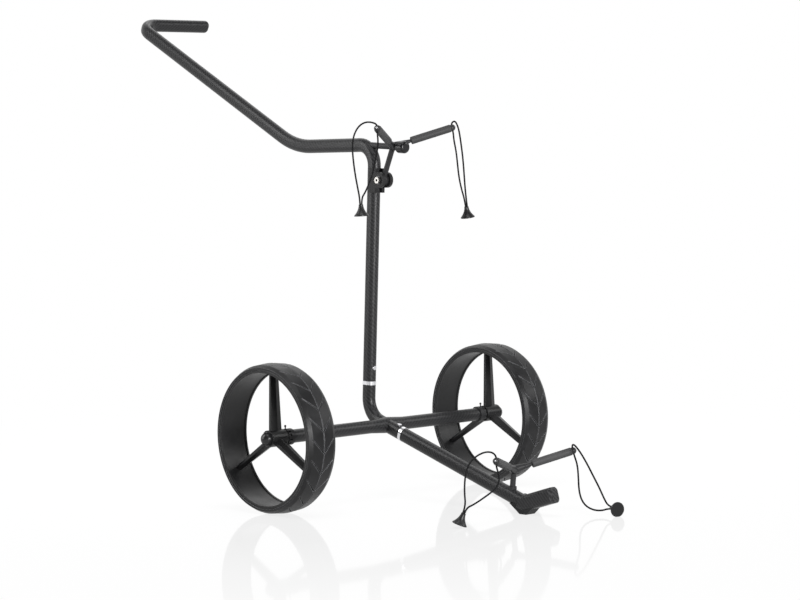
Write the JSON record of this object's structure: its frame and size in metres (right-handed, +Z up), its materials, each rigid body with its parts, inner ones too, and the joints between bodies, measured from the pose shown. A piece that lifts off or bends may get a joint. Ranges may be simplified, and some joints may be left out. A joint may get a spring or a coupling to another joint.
{
  "type": "golf push trolley",
  "caption": "Two-wheeled push trolley for a golf bag: bent mast and handle, axle, front leg with a foot, and folding bag cradles with elastic loops.",
  "frame": {"origin": "middle of the trolley's box on the floor, measured without the elastic loops and their toggles", "axes": "+X along the axle, +Y from the foot towards the handle, +Z up"},
  "size_m": [0.6618, 1.4087, 1.0377],
  "materials": {
    "carbon": "satin carbon-fibre laminate with a fine twill",
    "ring_steel": "bright satin steel",
    "spring_steel": "bright spring steel",
    "shaft_steel": "ground steel",
    "spigot_aluminium": "turned aluminium",
    "casting": "aluminium casting, black matt coat",
    "clevis": "black moulded plastic",
    "bolt": "polished stainless",
    "bush": "brass",
    "foam": "dark grey rubber sleeve",
    "bumper": "black rubber",
    "tip": "black moulded plastic",
    "cord": "black elastic cord",
    "grip": "black rubber",
    "shoe": "black moulded plastic",
    "sole": "black rubber",
    "tyre": "matt black tyre",
    "rim": "satin dark grey moulding",
    "spokes": "black moulding",
    "hub_cap": "gloss black",
    "housing": "dark grey moulding",
    "button": "gloss black"
  },
  "bodies": {
    "frame": {"lower_frame": "carbon", "mast_joint_ring": "ring_steel", "mast_spigot": "spigot_aluminium", "mast_snap_clip": "spring_steel", "left_axle_bush": "spigot_aluminium", "left_release_housing": "housing", "left_latch_spring": "spring_steel", "right_axle_bush": "spigot_aluminium", "right_release_housing": "housing", "right_latch_spring": "spring_steel"},
    "handle": {"handle_tube": "carbon", "grip_end_cap": "grip", "clevis_bracket": "clevis", "pivot_bolt": "bolt", "pivot_washers": "bolt", "pivot_nut": "bolt"},
    "upper_cradle": {"upper_yoke": "casting", "upper_nose_pad": "bumper", "pivot_bush": "bush", "upper_sleeve_left": "foam", "upper_tip_left": "tip", "upper_cord_left": "cord", "upper_toggle_left": "bumper", "upper_sleeve_right": "foam", "upper_tip_right": "tip", "upper_cord_right": "cord", "upper_toggle_right": "bumper"},
    "leg": {"leg_tube": "carbon", "leg_spigot": "spigot_aluminium", "leg_snap_clip": "spring_steel", "leg_joint_ring": "ring_steel", "foot_shoe": "shoe", "foot_sole": "sole", "lower_yoke": "casting", "lower_yoke_collar": "ring_steel", "lower_sleeve_left": "foam", "lower_tip_left": "tip", "lower_cord_left": "cord", "lower_toggle_left": "bumper", "lower_sleeve_right": "foam", "lower_tip_right": "tip", "lower_cord_right": "cord", "lower_toggle_right": "bumper"},
    "left_shaft": {"left_stub_shaft": "shaft_steel", "left_shaft_clip": "spring_steel"},
    "left_wheel": {"left_tyre": "tyre", "left_rim": "rim", "left_spokes": "spokes", "left_bearings": "shaft_steel", "left_hub_cap": "hub_cap"},
    "left_button": {"left_release_button": "button"},
    "right_shaft": {"right_stub_shaft": "shaft_steel", "right_shaft_clip": "spring_steel"},
    "right_wheel": {"right_tyre": "tyre", "right_rim": "rim", "right_spokes": "spokes", "right_bearings": "shaft_steel", "right_hub_cap": "hub_cap"},
    "right_button": {"right_release_button": "button"}
  },
  "joints": [
    {"name": "handle_pull_off", "type": "slide", "parent": "frame", "child": "handle", "axis": [0, -0.0742, 0.9972], "range_m": [0, 0.1], "deforming": ["mast_snap_clip"]},
    {"name": "leg_pull_out", "type": "slide", "parent": "frame", "child": "leg", "axis": [0, -0.9516, -0.3074], "range_m": [0, 0.07], "deforming": ["leg_snap_clip"]},
    {"name": "upper_cradle_fold", "type": "hinge", "parent": "handle", "child": "upper_cradle", "pos_m": [0, -0.18277, 0.656], "axis": [1, 0, 0], "range_deg": [0, 120]},
    {"name": "left_wheel_pull_off", "type": "slide", "parent": "frame", "child": "left_shaft", "axis": [-1, 0, 0], "range_m": [0, 0.06], "deforming": ["left_latch_spring"]},
    {"name": "left_wheel_spin", "type": "hinge", "parent": "left_shaft", "child": "left_wheel", "pos_m": [-0.2969, -0.17347, 0.15], "axis": [1, 0, 0], "continuous": true},
    {"name": "left_button_press", "type": "slide", "parent": "frame", "child": "left_button", "axis": [0, 0, -1], "range_m": [0, 0.0025], "stiffness_N_per_m": 900, "springref_m": -0.002, "deforming": ["left_latch_spring"]},
    {"name": "right_wheel_pull_off", "type": "slide", "parent": "frame", "child": "right_shaft", "axis": [1, 0, 0], "range_m": [0, 0.06], "deforming": ["right_latch_spring"]},
    {"name": "right_wheel_spin", "type": "hinge", "parent": "right_shaft", "child": "right_wheel", "pos_m": [0.2969, -0.17347, 0.15], "axis": [1, 0, 0], "continuous": true},
    {"name": "right_button_press", "type": "slide", "parent": "frame", "child": "right_button", "axis": [0, 0, -1], "range_m": [0, 0.0025], "stiffness_N_per_m": 900, "springref_m": -0.002, "deforming": ["right_latch_spring"]}
  ]
}
